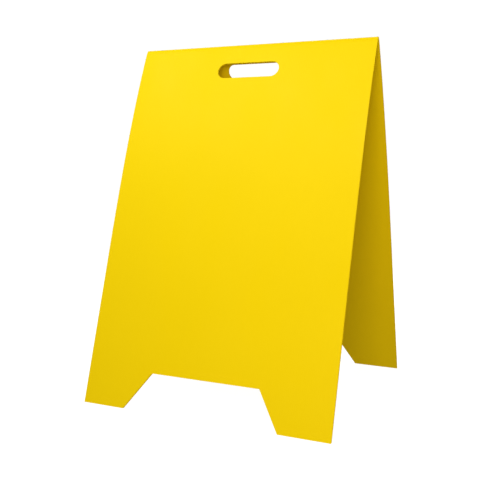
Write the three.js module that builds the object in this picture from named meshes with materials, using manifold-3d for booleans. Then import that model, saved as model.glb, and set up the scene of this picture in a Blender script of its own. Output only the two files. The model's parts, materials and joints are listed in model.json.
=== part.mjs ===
// A folding A-frame sign board. One sheet of 4 mm fluted polypropylene is crushed and folded across its
// middle, so it stands as two leaves under a living hinge. Each leaf has a hand slot near the ridge and
// a notch that leaves two feet. Two webbing stays, held by hook patches inside, stop the leaves spreading.
//
// Millimetres, +Z up. The origin is on the floor below the ridge, +X runs along the ridge, and the front
// leaf is on the -Y side. The board stands open.

import * as THREE from "three";
import { mergeVertices } from "three/addons/utils/BufferGeometryUtils.js";
import Module from "manifold-3d";

const wasm = await Module();
wasm.setup();

// Driving dimensions.
const BOARD_WIDTH = 610;
const SHEET_THICKNESS = 4;
const LEAF_LENGTH = 900; // hinge axis to floor, along the leaf's chord
const LEAF_LEAN = THREE.MathUtils.degToRad(19.25); // of the chord, from vertical
const BOW = 14; // how far the springy fold bends each leaf outwards from its chord
const CLOSED_GAP = 1.5; // between the two inner faces at the feet, with the board closed
const TOUCHING_GAP = 0.4; // kept between pieces that touch

const CUT_OFFSET = -5.5; // the slots and the mouths of the notches are cut a little left of centre
const FOOT_WIDTH = 114; // at the floor, the mean of a leaf's two feet
const NOTCH_INSET = 171; // side edge to the notch's upper corner
const NOTCH_HEIGHT = 86; // along the leaf

const SLOT_LENGTH = 160;
const SLOT_HEIGHT = 39.5;
const FRONT_SLOT_DEPTH = 68; // hinge axis to the slot's middle, along the leaf
const REAR_SLOT_DEPTH = 64.5;

const FOLD_THICKNESS = 1.2; // of the crushed band that works as the hinge
const FOLD_TAIL = 0.6; // how far the band runs down past the hinge axis

const STAY_STATION = 0.66 * LEAF_LENGTH; // where the stays hold the leaf, and its bow ends
const STAY_OFFSET = 110; // each stay's middle from the board's middle
const STAY_WIDTH = 25;
const WEBBING_THICKNESS = 1.2;
const PATCH_LENGTH = 50;
const PATCH_THICKNESS = 1;

const BOW_STEPS = 20; // facets down each leaf's curved stretch
const SLOT_STEPS = 12; // facets round each end of a slot

// Worked out from those.
const HINGE_HEIGHT = LEAF_LENGTH * Math.cos(LEAF_LEAN);
const LEAF_TOP = FOLD_TAIL + TOUCHING_GAP;
const INNER_FACE = CLOSED_GAP / 2;
const OUTER_FACE = INNER_FACE + SHEET_THICKNESS;
const MID_PLANE = INNER_FACE + SHEET_THICKNESS / 2;

const SHEET_PLASTIC = { color: 0xffd91a, roughness: 0.45, metalness: 0 };
const CRUSHED_PLASTIC = { color: 0xffd91a, roughness: 0.5, metalness: 0 };
const WEBBING = { color: 0x17181a, roughness: 0.85, metalness: 0 };
const HOOK_TAPE = { color: 0x101113, roughness: 0.9, metalness: 0 };

// The leaf bends like a strip turned by its sprung end and held at the stays: its curvature falls evenly
// from the hinge to nothing at the stays, and below them it is straight. Here q is 1 at the stays.
function bend(q) {
  return q < 1 ? q ** 2 / 2 - q ** 3 / 6 : 1 / 3 + (q - 1) / 2;
}

// How far the leaf stands out from its chord at a distance down it from the hinge axis.
function bowAt(down) {
  const foot = LEAF_LENGTH / STAY_STATION;
  const slope = bend(foot) / foot;
  const widest = 1 - Math.sqrt(1 - 2 * slope);
  const greatest = slope * widest - bend(widest);
  const q = down / STAY_STATION;
  return (BOW * (slope * q - bend(q))) / greatest;
}

// A prism from an outline in the Y-Z plane, centred on x = 0.
function prismAlongX(shape, width) {
  const geometry = new THREE.ExtrudeGeometry(shape, { depth: width, bevelEnabled: false });
  const axes = [new THREE.Vector3(0, 1, 0), new THREE.Vector3(0, 0, 1), new THREE.Vector3(1, 0, 0)];
  geometry.applyMatrix4(new THREE.Matrix4().makeBasis(...axes));
  return geometry.translate(-width / 2, 0, 0);
}

// A prism from an outline in the X-Z plane, centred on y = 0.
function prismAlongY(shape, depth) {
  const geometry = new THREE.ExtrudeGeometry(shape, {
    depth,
    bevelEnabled: false,
    curveSegments: SLOT_STEPS,
  });
  return geometry.translate(0, 0, -depth / 2).rotateX(Math.PI / 2);
}

function toSolid(geometry) {
  const bare = geometry.clone();
  bare.deleteAttribute("normal");
  bare.deleteAttribute("uv");
  const merged = mergeVertices(bare, 1e-4);
  const vertProperties = new Float32Array(merged.attributes.position.array);
  const triVerts = new Uint32Array(merged.index.array);
  return new wasm.Manifold(new wasm.Mesh({ numProp: 3, vertProperties, triVerts }));
}

function toGeometry(solid) {
  const mesh = solid.getMesh();
  const geometry = new THREE.BufferGeometry();
  geometry.setAttribute("position", new THREE.BufferAttribute(mesh.vertProperties, 3));
  geometry.setIndex(new THREE.BufferAttribute(mesh.triVerts, 1));
  geometry.computeVertexNormals();
  return geometry;
}

function named(name, geometry, look) {
  const mesh = new THREE.Mesh(geometry, new THREE.MeshStandardMaterial(look));
  mesh.name = name;
  return mesh;
}

// A leaf is drawn in a frame of its own: its origin is on the hinge axis, -Z runs down its chord and -Y
// points out of the board. Its foot edges are cut level with the floor.
function leafSection() {
  const edgeAtFloor = (out) => -(HINGE_HEIGHT + out * Math.sin(LEAF_LEAN)) / Math.cos(LEAF_LEAN);
  const stations = [];
  for (let i = 0; i <= BOW_STEPS; i++) {
    stations.push(LEAF_TOP + ((STAY_STATION - LEAF_TOP) * i) / BOW_STEPS);
  }
  const face = (out) => [
    ...stations.map((down) => new THREE.Vector2(-out - bowAt(down), -down)),
    new THREE.Vector2(-out, edgeAtFloor(out)),
  ];
  return new THREE.Shape([...face(OUTER_FACE), ...face(INNER_FACE).reverse()]);
}

// The sheet's outline seen square on, with its notch and its hand slot.
function leafOutline(cutMiddle, slotDepth) {
  const side = BOARD_WIDTH / 2;
  const below = LEAF_LENGTH * 1.01;
  const notchTop = LEAF_LENGTH - NOTCH_HEIGHT;
  const notchCorner = side - NOTCH_INSET;
  const mouthEdge = (hand) => {
    const atFloor = cutMiddle + hand * (side - FOOT_WIDTH);
    const stretch = (below - notchTop) / NOTCH_HEIGHT;
    return hand * notchCorner + stretch * (atFloor - hand * notchCorner);
  };
  const outline = new THREE.Shape();
  outline.moveTo(-side, 0);
  outline.lineTo(-side, -below);
  outline.lineTo(mouthEdge(-1), -below);
  outline.lineTo(-notchCorner, -notchTop);
  outline.lineTo(notchCorner, -notchTop);
  outline.lineTo(mouthEdge(1), -below);
  outline.lineTo(side, -below);
  outline.lineTo(side, 0);
  const slot = new THREE.Path();
  const radius = SLOT_HEIGHT / 2;
  const reach = SLOT_LENGTH / 2 - radius;
  slot.absarc(cutMiddle + reach, -slotDepth, radius, -Math.PI / 2, Math.PI / 2, false);
  slot.absarc(cutMiddle - reach, -slotDepth, radius, Math.PI / 2, (3 * Math.PI) / 2, false);
  outline.holes.push(slot);
  return outline;
}

function leafPanel(cutMiddle, slotDepth) {
  const bowed = toSolid(prismAlongX(leafSection(), BOARD_WIDTH));
  const cut = toSolid(prismAlongY(leafOutline(cutMiddle, slotDepth), BOARD_WIDTH));
  return toGeometry(bowed.intersect(cut));
}

// Below the stays the leaf is flat, and slopes this much in towards its chord.
const STRAIGHT_SLOPE = Math.atan(bowAt(STAY_STATION) / (LEAF_LENGTH - STAY_STATION));

// The patch's frame lies on the inner face where the stay leaves it: -Z down the face, +Y into the board.
function patchFrame() {
  const frame = new THREE.Group();
  frame.position.set(0, -INNER_FACE - bowAt(STAY_STATION), -STAY_STATION);
  frame.rotation.x = STRAIGHT_SLOPE;
  return frame;
}

function hookPatch(name, across) {
  const patch = named(name, new THREE.BoxGeometry(STAY_WIDTH, PATCH_THICKNESS, PATCH_LENGTH), HOOK_TAPE);
  patch.position.set(across, TOUCHING_GAP + PATCH_THICKNESS / 2, -PATCH_LENGTH / 2);
  return patch;
}

// One leaf with its hook patches. across is the leaf's own direction of the board's +X.
function leaf(end, across, slotDepth) {
  const group = new THREE.Group();
  group.add(named(`${end}_panel`, leafPanel(CUT_OFFSET * across, slotDepth), SHEET_PLASTIC));
  const patches = patchFrame();
  patches.add(hookPatch(`${end}_left_hook_patch`, -STAY_OFFSET * across));
  patches.add(hookPatch(`${end}_right_hook_patch`, STAY_OFFSET * across));
  group.add(patches);
  group.position.z = HINGE_HEIGHT;
  return group;
}

// The living hinge: the crushed band of the sheet, bent over the hinge axis from one leaf's middle plane
// to the other's.
function ridgeFold() {
  const inner = MID_PLANE - FOLD_THICKNESS / 2;
  const outer = MID_PLANE + FOLD_THICKNESS / 2;
  const rear = LEAF_LEAN;
  const front = Math.PI - LEAF_LEAN;
  const tailEnd = (radius, side) => [
    side * (radius * Math.cos(rear) + FOLD_TAIL * Math.sin(rear)),
    radius * Math.sin(rear) - FOLD_TAIL * Math.cos(rear),
  ];
  const band = new THREE.Shape();
  band.moveTo(...tailEnd(outer, 1));
  band.absarc(0, 0, outer, rear, front, false);
  band.lineTo(...tailEnd(outer, -1));
  band.lineTo(...tailEnd(inner, -1));
  band.absarc(0, 0, inner, front, rear, true);
  band.lineTo(...tailEnd(inner, 1));
  const fold = named("ridge_fold", prismAlongX(band, BOARD_WIDTH), CRUSHED_PLASTIC);
  fold.position.z = HINGE_HEIGHT;
  return fold;
}

// A stay is one strap, taut and level between the leaves. Each end turns down and lies on a hook patch.
function staySection() {
  const lean = LEAF_LEAN - STRAIGHT_SLOPE;
  const down = new THREE.Vector2(-Math.sin(lean), -Math.cos(lean));
  const inwards = new THREE.Vector2(Math.cos(lean), -Math.sin(lean));
  const out = INNER_FACE + bowAt(STAY_STATION);
  const root = new THREE.Vector2(
    -STAY_STATION * Math.sin(LEAF_LEAN) - out * Math.cos(LEAF_LEAN),
    HINGE_HEIGHT - STAY_STATION * Math.cos(LEAF_LEAN) + out * Math.sin(LEAF_LEAN),
  );
  const lieOff = 2 * TOUCHING_GAP + PATCH_THICKNESS;
  const corner = (offset, height) => {
    const point = root.clone().addScaledVector(inwards, offset);
    return point.addScaledVector(down, (height - point.y) / down.y);
  };
  const tailEnd = (offset) =>
    root.clone().addScaledVector(inwards, offset).addScaledVector(down, PATCH_LENGTH);
  const half = [
    tailEnd(lieOff),
    corner(lieOff, root.y),
    corner(lieOff + WEBBING_THICKNESS, root.y - WEBBING_THICKNESS),
    tailEnd(lieOff + WEBBING_THICKNESS),
  ];
  const mirrored = (point) => new THREE.Vector2(-point.x, point.y);
  const top = [half[0], half[1], mirrored(half[1]), mirrored(half[0])];
  const underside = [mirrored(half[3]), mirrored(half[2]), half[2], half[3]];
  return new THREE.Shape([...top, ...underside]);
}

function stay(name, middle) {
  const strap = named(name, prismAlongX(staySection(), STAY_WIDTH), WEBBING);
  strap.position.x = middle;
  return strap;
}

const frontLeaf = leaf("front", 1, FRONT_SLOT_DEPTH);
frontLeaf.rotation.x = -LEAF_LEAN;

const rearLeaf = leaf("rear", -1, REAR_SLOT_DEPTH);
rearLeaf.rotation.set(-LEAF_LEAN, 0, Math.PI, "ZYX");

const board = new THREE.Group();
board.add(frontLeaf, rearLeaf, ridgeFold());
board.add(stay("left_stay", -STAY_OFFSET), stay("right_stay", STAY_OFFSET));

export default board;
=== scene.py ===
"""Looks of a folding A-frame sign board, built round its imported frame.

The board is one sheet of fluted polypropylene, folded over a crushed crease. Each leaf is made here with
its real flutes: two skins joined by ribs. It is cut flat, like the real sheet, and then bowed to the frame's
shape. Metres, +Z up, +X along the ridge, front leaf on the -Y side.
"""

import json
import math

import bmesh
import bpy
import numpy as np
from mathutils import Matrix, Vector, noise


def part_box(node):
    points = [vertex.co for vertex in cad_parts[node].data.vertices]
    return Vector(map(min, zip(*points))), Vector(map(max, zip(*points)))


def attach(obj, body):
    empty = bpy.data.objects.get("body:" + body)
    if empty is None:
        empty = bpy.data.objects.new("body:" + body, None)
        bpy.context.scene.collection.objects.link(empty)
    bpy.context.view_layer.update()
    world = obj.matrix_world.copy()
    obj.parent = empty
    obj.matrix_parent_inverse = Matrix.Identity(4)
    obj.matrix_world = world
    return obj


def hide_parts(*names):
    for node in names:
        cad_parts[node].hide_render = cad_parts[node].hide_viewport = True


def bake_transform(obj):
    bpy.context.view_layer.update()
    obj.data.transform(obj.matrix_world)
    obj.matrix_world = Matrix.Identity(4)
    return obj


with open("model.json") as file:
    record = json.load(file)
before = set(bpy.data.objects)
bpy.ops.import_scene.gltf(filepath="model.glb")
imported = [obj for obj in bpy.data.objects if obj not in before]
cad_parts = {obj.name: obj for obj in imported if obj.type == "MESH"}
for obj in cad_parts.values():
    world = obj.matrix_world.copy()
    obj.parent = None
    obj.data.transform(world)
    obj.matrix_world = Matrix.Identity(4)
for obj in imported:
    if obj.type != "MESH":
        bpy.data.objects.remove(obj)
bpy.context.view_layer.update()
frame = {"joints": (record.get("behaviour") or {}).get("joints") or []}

MM = 0.001

# The frame's own dimensions.
FOLD = frame["joints"][0]
HINGE_HEIGHT = FOLD["pos_m"][2]
LEAN = -math.radians(FOLD["range_deg"][0]) / 2
LEAF_LENGTH = HINGE_HEIGHT / math.cos(LEAN)
BOARD_WIDTH = 2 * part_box("front_panel")[1].x
STAY_BOXES = {hand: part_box(f"{hand}_stay") for hand in ("left", "right")}
STAY_MIDDLES = {hand: (low.x + high.x) / 2 for hand, (low, high) in STAY_BOXES.items()}
STAY_WIDTH = STAY_BOXES["left"][1].x - STAY_BOXES["left"][0].x

# The board's driving dimensions.
INNER_FACE = 0.75 * MM  # out from a leaf's chord, which runs through the hinge axis
OUTER_FACE = 4.75 * MM
MID_PLANE = (INNER_FACE + OUTER_FACE) / 2
LEAF_TOP = 1.0 * MM  # where a leaf ends and the crease begins, down from the hinge axis
BOW = 14 * MM
STAY_STATION = 0.66 * LEAF_LENGTH  # how far down the stays are; a leaf is straight below this
CUT_OFFSET = -5.5 * MM  # the slots and the mouths of the notches are a little left of centre
FOOT_WIDTH = 114 * MM  # the mean of a leaf's two feet
NOTCH_INSET = 171 * MM
NOTCH_HEIGHT = 86 * MM
SLOT_LENGTH = 160 * MM
SLOT_HEIGHT = 39.5 * MM
SLOT_DEPTHS = {"front": 68 * MM, "rear": 64.5 * MM}

# Finer detail of the sheet.
RIB_COUNT = 139
SKIN = 0.4 * MM
RIB = 0.35 * MM
RIB_WAVE = 0.05 * MM  # how far a skin rises and falls over the ribs
CREASE_THICKNESS = 1.2 * MM
CREASE_GAP = 0.05 * MM  # between the crease and a leaf
CREASE_WAVE = 0.03 * MM
CREASE_RIPPLE = 0.05 * MM
CREASE_CRUMPLE = 0.09 * MM
CREASE_INSET = 0.13 * MM  # keeps the rippled skin inside the crease's nominal faces
CRUSH_REACH = 9 * MM  # how far down from the crease the flutes are squeezed

# The stays and what they stick to.
PATCH_LENGTH = 50 * MM
PATCH_GAP = 0.02 * MM  # between a patch and the leaf it is stuck to
PATCH_BASE = 0.7 * MM
PATCH_CORNER = 2.5 * MM
HOOK_HEIGHT = 0.6 * MM
HOOK_PITCH = 1.3 * MM
HOOK_STEM = 0.18 * MM
HOOK_HEAD = 0.32 * MM
HOOK_LEAN = 0.15 * MM
HOOK_ROOT = 0.05 * MM  # how deep a stem is sunk in the base
WEBBING_THICKNESS = 1.2 * MM
WEBBING_OFF_FACE = 1.9 * MM  # from a leaf's inner face to the middle of the webbing
WEAVE_DEPTH = 0.07 * MM
STAY_SAG = 2.5 * MM
STAY_BEND = 3.5 * MM  # about the radius at which a stay turns down a leaf
STAY_END_INSET = 1 * MM  # how far a stay ends short of its patch


# ---------------------------------------------------------------- camera, light and floor


def make_camera():
    """The viewpoint: in front, a little to the right, at about two thirds of the board's height."""
    place, heading, dip, roll_angle = (0.7341, -1.6871, 0.5768), 0.4263, 0.1143, 0.0055
    data = bpy.data.cameras.new("camera")
    data.lens = 54.57
    data.sensor_width = 36
    camera = bpy.data.objects.new("camera", data)
    bpy.context.scene.collection.objects.link(camera)
    turn = Matrix.Rotation(heading, 4, "Z")
    tilt = Matrix.Rotation(math.pi / 2 - dip, 4, "X")
    roll = Matrix.Rotation(roll_angle, 4, "Z")
    camera.matrix_world = Matrix.Translation(place) @ turn @ tilt @ roll
    bpy.context.scene.camera = camera


def make_softbox(name, place, target, size, power, colour):
    """A rectangular area light at a place, facing a target, that the camera doesn't see."""
    data = bpy.data.lights.new(name, "AREA")
    data.shape = "RECTANGLE"
    data.size, data.size_y = size
    data.energy = power
    data.color = colour
    light = bpy.data.objects.new(name, data)
    bpy.context.scene.collection.objects.link(light)
    light.visible_camera = False
    aim = (Vector(target) - Vector(place)).to_track_quat("-Z", "Y")
    light.matrix_world = Matrix.Translation(place) @ aim.to_matrix().to_4x4()


def make_lights():
    """A cool key light high on the left, warmer ones by the viewpoint and behind, and a faint surround."""
    cool, warm, warm_surroundings = (0.94, 1.0, 0.98), (1.0, 0.9, 0.8), (1.0, 0.91, 0.82, 1)
    make_softbox("key", (-0.4, -1.0, 1.75), (0, -0.1, 0.8), (1.6, 0.6), 16.3, cool)
    make_softbox("front", (0.82, -2.1, 0.75), (0.1, 0, 0.55), (0.8, 0.8), 24.5, warm)
    make_softbox("back", (-0.5, 2.1, 1.3), (0, 0.1, 0.5), (1.2, 0.9), 36, warm)
    world = bpy.data.worlds.new("world")
    world.use_nodes = True
    background = world.node_tree.nodes["Background"]
    background.inputs["Color"].default_value = warm_surroundings
    background.inputs["Strength"].default_value = 0.28
    bpy.context.scene.world = world


def make_studio():
    """A plain pale floor and backdrop, hidden from the rays that would light, mirror or shade the board."""
    reach = 30
    corners = [(-reach, -reach, 0), (reach, -reach, 0), (reach, reach, 0), (-reach, reach, 0)]
    floor = new_object("floor", mesh_from("floor", corners, [(0, 1, 2, 3)]))
    shell = bmesh.new()
    bmesh.ops.create_uvsphere(shell, u_segments=64, v_segments=32, radius=reach)
    dome = bpy.data.meshes.new("backdrop")
    shell.to_mesh(dome)
    shell.free()
    pale = pale_material()
    for surface in (floor, new_object("backdrop", dome)):
        surface.data.materials.append(pale)
        surface.visible_diffuse = False
        surface.visible_glossy = False
        surface.visible_shadow = False


# ---------------------------------------------------------------- materials


class Nodes:
    """A material's node tree, with short ways to add and join nodes."""

    def __init__(self, name):
        self.material = bpy.data.materials.new(name)
        self.material.use_nodes = True
        self.tree = self.material.node_tree
        self.shader = self.tree.nodes["Principled BSDF"]
        self.place = self.add("ShaderNodeTexCoord").outputs["Object"]

    def add(self, kind, **settings):
        """A new node of a kind, with these properties."""
        node = self.tree.nodes.new(kind)
        for key, value in settings.items():
            setattr(node, key, value)
        return node

    def join(self, source, target):
        self.tree.links.new(source, target)

    def value(self, socket, value):
        """Sets a constant on the shader."""
        self.shader.inputs[socket].default_value = value

    def stretched(self, scale):
        """The object's own coordinates, scaled along each axis."""
        mapping = self.add("ShaderNodeMapping")
        mapping.inputs["Scale"].default_value = scale
        self.join(self.place, mapping.inputs["Vector"])
        return mapping.outputs["Vector"]

    def noise(self, scale, detail=3.0, vector=None):
        node = self.add("ShaderNodeTexNoise")
        node.inputs["Scale"].default_value = scale
        node.inputs["Detail"].default_value = detail
        self.join(vector or self.place, node.inputs["Vector"])
        return node.outputs["Fac"]

    def wave(self, period, axis):
        """Sine bands with this period, in metres, along an axis."""
        node = self.add("ShaderNodeTexWave", wave_type="BANDS", bands_direction=axis, wave_profile="SIN")
        node.inputs["Scale"].default_value = math.pi / 10 / period
        self.join(self.place, node.inputs["Vector"])
        return node.outputs["Fac"]

    def remap(self, source, low, high, start=0.0, end=1.0):
        """Stretches a source's values from start..end to low..high."""
        node = self.add("ShaderNodeMapRange")
        for socket, number in (("From Min", start), ("From Max", end), ("To Min", low), ("To Max", high)):
            node.inputs[socket].default_value = number
        self.join(source, node.inputs["Value"])
        return node.outputs["Result"]

    def mix(self, share, first, second):
        """Blends two plain colours."""
        first_colour, second_colour, result = 6, 7, 2  # the node's sockets for colours
        node = self.add("ShaderNodeMix", data_type="RGBA")
        self.join(share, node.inputs["Factor"])
        node.inputs[first_colour].default_value = (*first, 1)
        node.inputs[second_colour].default_value = (*second, 1)
        return node.outputs[result]

    def maths(self, operation, first, second):
        """A sum or product, where either term may be a number or another node's output."""
        node = self.add("ShaderNodeMath", operation=operation)
        for socket, term in zip(node.inputs, (first, second)):
            if isinstance(term, (int, float)):
                socket.default_value = term
            else:
                self.join(term, socket)
        return node.outputs[0]

    def bump(self, height, depth, under=None):
        """Relief of this depth in metres, on top of another bump if there is one under it."""
        node = self.add("ShaderNodeBump")
        node.inputs["Strength"].default_value = 1.0
        node.inputs["Distance"].default_value = depth
        self.join(height, node.inputs["Height"])
        if under is not None:
            self.join(under, node.inputs["Normal"])
        return node.outputs["Normal"]


def pale_material():
    """The near-white of the floor and backdrop."""
    n = Nodes("pale_surroundings")
    n.value("Base Color", (0.25, 0.25, 0.25, 1))
    n.value("Roughness", 0.9)
    n.value("Specular IOR Level", 0.1)
    n.value("Emission Color", (1, 1, 1, 1))
    n.value("Emission Strength", 0.96)
    return n.material


def sheet_material(name, flute_depth):
    """Yellow extruded polypropylene: satin, with faint waves over the ribs and lines along them."""
    n = Nodes(name)
    along = n.stretched((160, 160, 3))
    streaks = n.noise(1.0, 2.0, along)
    clouds = n.noise(5.0, 3.0)
    tone = n.maths("ADD", n.maths("MULTIPLY", streaks, 0.35), n.maths("MULTIPLY", clouds, 0.65))
    n.join(n.mix(tone, (0.83, 0.608, 0.0015), (0.87, 0.64, 0.0025)), n.shader.inputs["Base Color"])
    smears = n.noise(14.0, 4.0, n.stretched((1.0, 1.0, 0.35)))
    n.join(n.remap(smears, 0.36, 0.52, 0.3, 0.7), n.shader.inputs["Roughness"])
    n.value("IOR", 1.49)
    n.value("Specular IOR Level", 0.04)
    ribs = n.wave(BOARD_WIDTH / RIB_COUNT, "X")
    skin = n.bump(n.noise(900.0, 2.0), 0.01 * MM)
    lines = n.bump(n.noise(1.0, 3.0, n.stretched((700, 700, 5))), 0.02 * MM, under=skin)
    n.join(n.bump(ribs, flute_depth, under=lines), n.shader.inputs["Normal"])
    return n.material


def webbing_material():
    """Black polyester webbing: a twill of fine yarns, fuzzy with loops on the side that grips."""
    n = Nodes("black_webbing")
    yarns = n.noise(1.0, 2.0, n.stretched((900, 2600, 900)))
    n.join(n.mix(yarns, (0.009, 0.009, 0.010), (0.035, 0.035, 0.038)), n.shader.inputs["Base Color"])
    n.join(n.remap(n.noise(60.0), 0.72, 0.9), n.shader.inputs["Roughness"])
    n.value("Sheen Weight", 0.25)
    n.value("Sheen Roughness", 0.5)
    n.value("Specular IOR Level", 0.3)
    fuzz = n.bump(n.noise(2500.0, 3.0), 0.08 * MM)
    n.join(n.bump(yarns, 0.12 * MM, under=fuzz), n.shader.inputs["Normal"])
    return n.material


def hook_material():
    """Moulded black nylon hook tape."""
    n = Nodes("black_hook_tape")
    n.join(n.mix(n.noise(300.0), (0.008, 0.008, 0.009), (0.018, 0.018, 0.02)), n.shader.inputs["Base Color"])
    n.join(n.remap(n.noise(800.0), 0.45, 0.65), n.shader.inputs["Roughness"])
    n.join(n.bump(n.noise(1800.0, 2.0), 0.03 * MM), n.shader.inputs["Normal"])
    return n.material


# ---------------------------------------------------------------- shape of a leaf


def bend(q):
    """The deflection of a strip whose curvature falls evenly to nothing at q = 1, and is straight beyond."""
    q = np.asarray(q, float)
    return np.where(q < 1, q**2 / 2 - q**3 / 6, 1 / 3 + (q - 1) / 2)


def bow_at(down):
    """How far a leaf stands out from its chord, at a distance down it from the hinge axis."""
    foot = LEAF_LENGTH / STAY_STATION
    slope = bend(foot) / foot
    widest = 1 - math.sqrt(1 - 2 * slope)
    greatest = slope * widest - bend(widest)
    q = np.asarray(down, float) / STAY_STATION
    return BOW * (slope * q - bend(q)) / greatest


STRAIGHT_SLOPE = math.atan(bow_at(STAY_STATION) / (LEAF_LENGTH - STAY_STATION))


def standing(points, side):
    """Points of a flat sheet, (across, down, through), bowed and stood up. side is -1 for the front leaf."""
    across, down, through = points[:, 0], points[:, 1], points[:, 2]
    out = through + bow_at(down)
    y = down * math.sin(LEAN) + out * math.cos(LEAN)
    z = HINGE_HEIGHT - down * math.cos(LEAN) + out * math.sin(LEAN)
    return np.column_stack([across, side * y, np.maximum(z, 0)])


def crushed(points):
    """Squeezes the top of a sheet down to the thickness of the crease."""
    share = np.clip((points[:, 1] - LEAF_TOP) / CRUSH_REACH, 0, 1)
    ease = np.sin(share * math.pi / 2)
    closed = CREASE_THICKNESS / (OUTER_FACE - INNER_FACE)
    thickness = closed + (1 - closed) * ease
    squeezed = points.copy()
    squeezed[:, 2] = MID_PLANE + (points[:, 2] - MID_PLANE) * thickness
    return squeezed


def new_object(name, mesh):
    """An object with this mesh, linked to the scene."""
    made = bpy.data.objects.new(name, mesh)
    bpy.context.scene.collection.objects.link(made)
    return made


def mesh_from(name, points, faces):
    """A mesh from a list of points and faces."""
    mesh = bpy.data.meshes.new(name)
    mesh.from_pydata([tuple(p) for p in points], [], faces)
    mesh.update()
    return mesh


def fluted_sheet():
    """The flat sheet, (across, down, through), uncut: two skins and the ribs between them."""
    pitch = BOARD_WIDTH / RIB_COUNT
    ribs = [(i + 0.5) * pitch - BOARD_WIDTH / 2 for i in range(RIB_COUNT)]
    across = [-BOARD_WIDTH / 2, *[x + s * RIB / 2 for x in ribs for s in (-1, 1)], BOARD_WIDTH / 2]
    through = [INNER_FACE, INNER_FACE + SKIN, OUTER_FACE - SKIN, OUTER_FACE]
    foot = [LEAF_LENGTH + t * math.tan(LEAN) for t in through]
    points = [(x, LEAF_TOP, t) for x in across for t in through]
    points += [(x, d, t) for x in across for t, d in zip(through, foot)]
    levels, bottom = len(through), len(across) * len(through)
    faces = []

    def corner(i, k, end):
        """The number of a point: line i across, level k through, at the top (end 0) or the foot (end 1)."""
        return i * levels + k + end * bottom

    def strip(i, k, j, m):
        """A face running the length of the sheet, between two corners of its section."""
        faces.append((corner(i, k, 0), corner(i, k, 1), corner(j, m, 1), corner(j, m, 0)))

    def cap(i, k):
        """The two end faces of one cell of solid plastic."""
        for end in (0, 1):
            ring = [corner(i + a, k + b, end) for a, b in ((0, 0), (1, 0), (1, 1), (0, 1))]
            faces.append(ring if end else ring[::-1])

    for i in range(len(across) - 1):
        strip(i, 0, i + 1, 0)
        strip(i, 3, i + 1, 3)
        cap(i, 0)
        cap(i, 2)
        if i % 2:
            cap(i, 1)
            strip(i, 1, i, 2)
            strip(i + 1, 1, i + 1, 2)
        else:
            strip(i, 1, i + 1, 1)
            strip(i, 2, i + 1, 2)
    for i in (0, len(across) - 1):
        strip(i, 0, i, 1)
        strip(i, 2, i, 3)
    return mesh_from("fluted_sheet", points, faces)


def cutter(name, outline):
    """A prism through the sheet from an outline of (across, down) points."""
    margin = 5 * MM
    low, high = INNER_FACE - margin, OUTER_FACE + margin
    count = len(outline)
    points = [(x, d, low) for x, d in outline] + [(x, d, high) for x, d in outline]
    faces = [tuple(range(count))[::-1], tuple(range(count, 2 * count))]
    faces += [(i, (i + 1) % count, (i + 1) % count + count, i + count) for i in range(count)]
    made = new_object(name, mesh_from(name, points, faces))
    tidy_normals(made.data)
    return made


def tidy_normals(mesh):
    """Turns every face of a closed mesh outwards."""
    work = bmesh.new()
    work.from_mesh(mesh)
    bmesh.ops.recalc_face_normals(work, faces=work.faces)
    work.to_mesh(mesh)
    work.free()


def slot_outline(depth):
    """A stadium centred this far down a leaf: two half circles and the straight sides between them."""
    radius, steps = SLOT_HEIGHT / 2, 24
    reach = SLOT_LENGTH / 2 - radius
    outline = []
    for side, start in ((1, -math.pi / 2), (-1, math.pi / 2)):
        for i in range(steps + 1):
            turn = start + math.pi * i / steps
            middle = CUT_OFFSET + side * reach
            outline.append((middle + radius * math.cos(turn), depth + radius * math.sin(turn)))
    return outline


def notch_outline():
    """A trapezium that runs on past the floor. Its mouth is off centre and its top is not."""
    overrun = 30 * MM
    top, below = LEAF_LENGTH - NOTCH_HEIGHT, LEAF_LENGTH + overrun
    stretch = (below - top) / NOTCH_HEIGHT
    corner = BOARD_WIDTH / 2 - NOTCH_INSET
    mouth = BOARD_WIDTH / 2 - FOOT_WIDTH
    left = -corner + stretch * (CUT_OFFSET - mouth + corner)
    right = corner + stretch * (CUT_OFFSET + mouth - corner)
    return [(left, below), (-corner, top), (corner, top), (right, below)]


def cut(sheet, tools):
    """Cuts each tool in turn out of the sheet, bakes the result into its mesh, and removes the tools."""
    for tool in tools:
        step = sheet.modifiers.new("cut", "BOOLEAN")
        step.operation = "DIFFERENCE"
        step.solver = "EXACT"
        step.object = tool
    bpy.context.view_layer.update()
    finished = bpy.data.meshes.new_from_object(sheet.evaluated_get(bpy.context.evaluated_depsgraph_get()))
    sheet.modifiers.clear()
    sheet.data = finished
    for tool in tools:
        bpy.data.objects.remove(tool)


def slice_across(mesh, stations):
    """Adds a line of points across the sheet at each station down it, so that it can bend there."""
    work = bmesh.new()
    work.from_mesh(mesh)
    for down in stations:
        everything = [*work.verts, *work.edges, *work.faces]
        bmesh.ops.bisect_plane(work, geom=everything, dist=1e-7, plane_co=(0, down, 0), plane_no=(0, 1, 0))
    work.to_mesh(mesh)
    work.free()


def leaf_stations():
    """Distances down a leaf where it bends: close together where it is crushed, then down to the stays."""
    crush_steps, bow_steps = 8, 36
    near = [LEAF_TOP + CRUSH_REACH * (i / crush_steps) for i in range(1, crush_steps + 1)]
    span = STAY_STATION - near[-1]
    return near + [near[-1] + span * i / bow_steps for i in range(1, bow_steps + 1)]


def read_points(mesh):
    """A mesh's points, one row each."""
    flat = np.empty(len(mesh.vertices) * 3)
    mesh.vertices.foreach_get("co", flat)
    return flat.reshape(-1, 3)


def finish_shading(mesh, degrees):
    """Smooth shading, with an edge kept sharp where its faces turn by more than this."""
    mesh.shade_smooth()
    mesh.set_sharp_from_angle(angle=math.radians(degrees))


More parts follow.
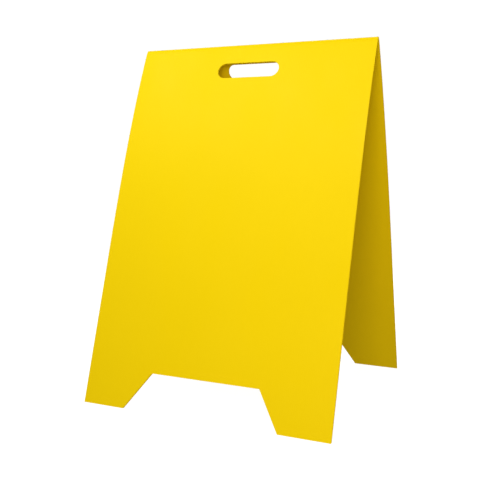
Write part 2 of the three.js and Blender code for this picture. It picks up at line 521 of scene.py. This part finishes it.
def make_leaf(body, side):
    """A leaf, cut flat like the real sheet and then crushed at the top, bowed and stood up."""
    leaf = new_object(f"{body}_fluted_leaf", fluted_sheet())
    tidy_normals(leaf.data)
    cut(leaf, [cutter("slot_tool", slot_outline(SLOT_DEPTHS[body])), cutter("notch_tool", notch_outline())])
    mesh = leaf.data
    slice_across(mesh, leaf_stations())
    mesh.vertices.foreach_set("co", standing(crushed(read_points(mesh)), side).ravel())
    mesh.update()
    tidy_normals(mesh)
    finish_shading(mesh, 28)
    mesh.materials.append(sheet_material(f"{body}_sheet_plastic", RIB_WAVE))
    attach(leaf, body)
    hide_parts(f"{body}_panel")


# ---------------------------------------------------------------- crease


def make_crease():
    """The crushed band over the ridge, rippled where it was pressed flat across the flutes."""
    steps_round, per_rib = 20, 6
    lumps_along, lumps_round, lumps_apart = 90, 400, 7
    columns = RIB_COUNT * per_rib
    section = crease_section(steps_round, LEAF_TOP - CREASE_GAP)
    ring = len(section)
    points, faces = [], []
    for c in range(columns + 1):
        x = BOARD_WIDTH * (c / columns - 0.5)
        phase = math.tau * c / per_rib
        for y, z, off in section:
            normal = Vector((0, y, z)).normalized() if z > 0 else Vector((0, math.copysign(1, y), 0))
            lump = noise.noise(Vector((x * lumps_along, y * lumps_round, off * lumps_apart)))
            ripple = CREASE_RIPPLE * math.cos(phase) + lump * CREASE_CRUMPLE - off * CREASE_INSET
            points.append((x, y + normal.y * ripple, HINGE_HEIGHT + z + normal.z * ripple))
    for c in range(columns):
        for k in range(ring):
            a, b = c * ring + k, c * ring + (k + 1) % ring
            faces.append((a, b, b + ring, a + ring))
    faces.append(tuple(range(ring))[::-1])
    faces.append(tuple(columns * ring + k for k in range(ring)))
    mesh = mesh_from("ridge_crease", points, faces)
    tidy_normals(mesh)
    finish_shading(mesh, 50)
    crease = new_object("ridge_crease", mesh)
    crease.data.materials.append(sheet_material("crushed_plastic", CREASE_WAVE))
    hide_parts("ridge_fold")
    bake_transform(crease)


def crease_section(steps, tail):
    """The band's closed section as (y, z, side), from the hinge axis. side is 1 outside and -1 inside."""
    section = []
    for side in (1, -1):
        radius = MID_PLANE + side * CREASE_THICKNESS / 2
        run = []
        for end in (-1, 1):
            foot_y = end * (radius * math.cos(LEAN) + tail * math.sin(LEAN))
            foot_z = radius * math.sin(LEAN) - tail * math.cos(LEAN)
            run.append((foot_y, foot_z, side))
        arc = []
        for i in range(steps + 1):
            turn = math.pi - LEAN - (math.pi - 2 * LEAN) * i / steps
            arc.append((radius * math.cos(turn), radius * math.sin(turn), side))
        section += [run[0], *arc, run[1]] if side > 0 else [run[1], *arc[::-1], run[0]]
    return section


# ---------------------------------------------------------------- hook patches and stays


def face_frame(side):
    """Where a stay meets a leaf's inner face: the place, and the ways down the face and into the board."""
    lean = LEAN - STRAIGHT_SLOPE
    place = standing(np.array([[0, STAY_STATION, INNER_FACE]]), side)[0]
    down = Vector((0, side * math.sin(lean), -math.cos(lean)))
    inwards = Vector((0, -side * math.cos(lean), -math.sin(lean)))
    return Vector(place), down, inwards


def make_patch(body, side, hand, material):
    """A patch of hook tape: a moulded base with rounded corners, covered in rows of small hooks."""
    place, down, inwards = face_frame(side)
    across = Vector((1, 0, 0))
    place = place + across * STAY_MIDDLES[hand]
    half, radius, steps = STAY_WIDTH / 2, PATCH_CORNER, 5
    corners = [(half - radius, radius), (half - radius, PATCH_LENGTH - radius)]
    corners += [(radius - half, PATCH_LENGTH - radius), (radius - half, radius)]
    outline = []
    for (x, d), start in zip(corners, (-math.pi / 2, 0, math.pi / 2, math.pi)):
        for i in range(steps + 1):
            turn = start + math.pi / 2 * i / steps
            outline.append((x + radius * math.cos(turn), d + radius * math.sin(turn)))
    count = len(outline)
    points = [(x, d, h) for h in (PATCH_GAP, PATCH_BASE) for x, d in outline]
    faces = [tuple(range(count)), tuple(range(count, 2 * count))]
    faces += [(i, (i + 1) % count, (i + 1) % count + count, i + count) for i in range(count)]
    add_hooks(points, faces)
    placed = [place + across * x + down * d + inwards * h for x, d, h in points]
    mesh = mesh_from("patch", placed, faces)
    tidy_normals(mesh)
    finish_shading(mesh, 40)
    patch = new_object(f"{body}_{hand}_hook_tape", mesh)
    patch.data.materials.append(material)
    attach(patch, body)
    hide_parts(f"{body}_{hand}_hook_patch")


def add_hooks(points, faces):
    """Rows of hooks: a slim stem with a wider head, leaning the other way in each next row."""
    rows = int((PATCH_LENGTH - 2 * PATCH_CORNER) / HOOK_PITCH)
    columns = int((STAY_WIDTH - 2 * PATCH_CORNER) / HOOK_PITCH)
    for r in range(rows + 1):
        lean = HOOK_LEAN if r % 2 else -HOOK_LEAN
        levels = (  # height, width, shift
            (PATCH_BASE - HOOK_ROOT, HOOK_STEM, 0),
            (PATCH_BASE + 0.55 * HOOK_HEIGHT, HOOK_STEM, 0.4 * lean),
            (PATCH_BASE + 0.75 * HOOK_HEIGHT, HOOK_HEAD, lean),
            (PATCH_BASE + HOOK_HEIGHT, HOOK_STEM, lean),
        )
        for c in range(columns + 1):
            x = (c - columns / 2) * HOOK_PITCH
            d = PATCH_LENGTH / 2 + (r - rows / 2) * HOOK_PITCH
            first = len(points)
            for height, size, shift in levels:
                for sx, sd in ((-1, -1), (1, -1), (1, 1), (-1, 1)):
                    points.append((x + sx * size / 2 + shift, d + sd * size / 2, height))
            for k in range(len(levels) - 1):
                for i in range(4):
                    a, b = first + 4 * k + i, first + 4 * k + (i + 1) % 4
                    faces.append((a, b, b + 4, a + 4))
            faces.append((first, first + 1, first + 2, first + 3))
            top = first + 4 * (len(levels) - 1)
            faces.append((top, top + 1, top + 2, top + 3))


def stay_path():
    """The middle line of a stay's webbing, as points in Y and Z, from its front end to its rear end."""
    tail_steps, bend_steps, span_steps = 24, 8, 110
    place, down, inwards = face_frame(-1)
    span_z = place.z - WEBBING_THICKNESS / 2
    root = place + inwards * WEBBING_OFF_FACE
    corner = root + down * ((span_z - root.z) / down.z)
    cut_back = STAY_BEND * math.tan(math.acos(-down.y) / 2)
    end = root + down * (PATCH_LENGTH - STAY_END_INSET)
    start, finish = corner + down * cut_back, corner + Vector((0, cut_back, 0))
    half = [end.lerp(start, i / tail_steps) for i in range(tail_steps)]
    for i in range(bend_steps + 1):
        s = i / bend_steps
        half.append((1 - s) ** 2 * start + 2 * s * (1 - s) * corner + s**2 * finish)
    span = []
    for i in range(1, span_steps):
        s = i / span_steps
        span.append(Vector((0, finish.y * (1 - 2 * s), span_z - STAY_SAG * 4 * s * (1 - s))))
    rear = [Vector((0, -p.y, p.z)) for p in half[::-1]]
    return half + span + rear


def make_stay(hand, material):
    """A stay of woven webbing, with raised yarns on its faces and thinner edges."""
    path = stay_path()
    columns, edge_sharpness = 26, 8
    edge_lift, face_lift = 0.45, 0.4  # shares of half the thickness: at the thin edges, and more inside them
    half = WEBBING_THICKNESS / 2
    points, rings = [], []
    for i, middle in enumerate(path):
        before, after = path[max(i - 1, 0)], path[min(i + 1, len(path) - 1)]
        along = (after - before).normalized()
        normal = Vector((0, -along.z, along.y))
        ring = []
        for side in (1, -1):
            order = range(columns + 1) if side > 0 else range(columns, -1, -1)
            for c in order:
                share = 2 * c / columns - 1
                inside = 1 - abs(share) ** edge_sharpness
                weave = WEAVE_DEPTH * math.cos(math.pi * (c + i)) * inside
                lift = half * (edge_lift + face_lift * inside) + weave
                ring.append(len(points))
                x = STAY_MIDDLES[hand] + share * STAY_WIDTH / 2
                points.append(Vector((x, 0, 0)) + middle + side * lift * normal)
        rings.append(ring)
    count = len(rings[0])
    faces = []
    for near, far in zip(rings, rings[1:]):
        faces += [(near[k], near[(k + 1) % count], far[(k + 1) % count], far[k]) for k in range(count)]
    faces.append(tuple(rings[0][::-1]))
    faces.append(tuple(rings[-1]))
    mesh = mesh_from("stay", points, faces)
    tidy_normals(mesh)
    finish_shading(mesh, 60)
    stay = new_object(f"{hand}_webbing_stay", mesh)
    stay.data.materials.append(material)
    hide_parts(f"{hand}_stay")
    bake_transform(stay)
    turn_evenly(stay)


def turn_evenly(piece):
    """Reads the stay's points, and leaves the stay as it is."""
    points = read_points(piece.data)


def make_stays():
    """Both stays, and a patch for each of their ends."""
    hooks, cloth = hook_material(), webbing_material()
    for hand in ("left", "right"):
        for body, side in (("front", -1), ("rear", 1)):
            make_patch(body, side, hand, hooks)
        make_stay(hand, cloth)


# ---------------------------------------------------------------- the scene

make_camera()
make_lights()
make_studio()
make_leaf("front", -1)
make_leaf("rear", 1)
make_crease()
make_stays()

bpy.context.scene.view_settings.view_transform = "Standard"
bpy.context.scene.view_settings.look = "None"
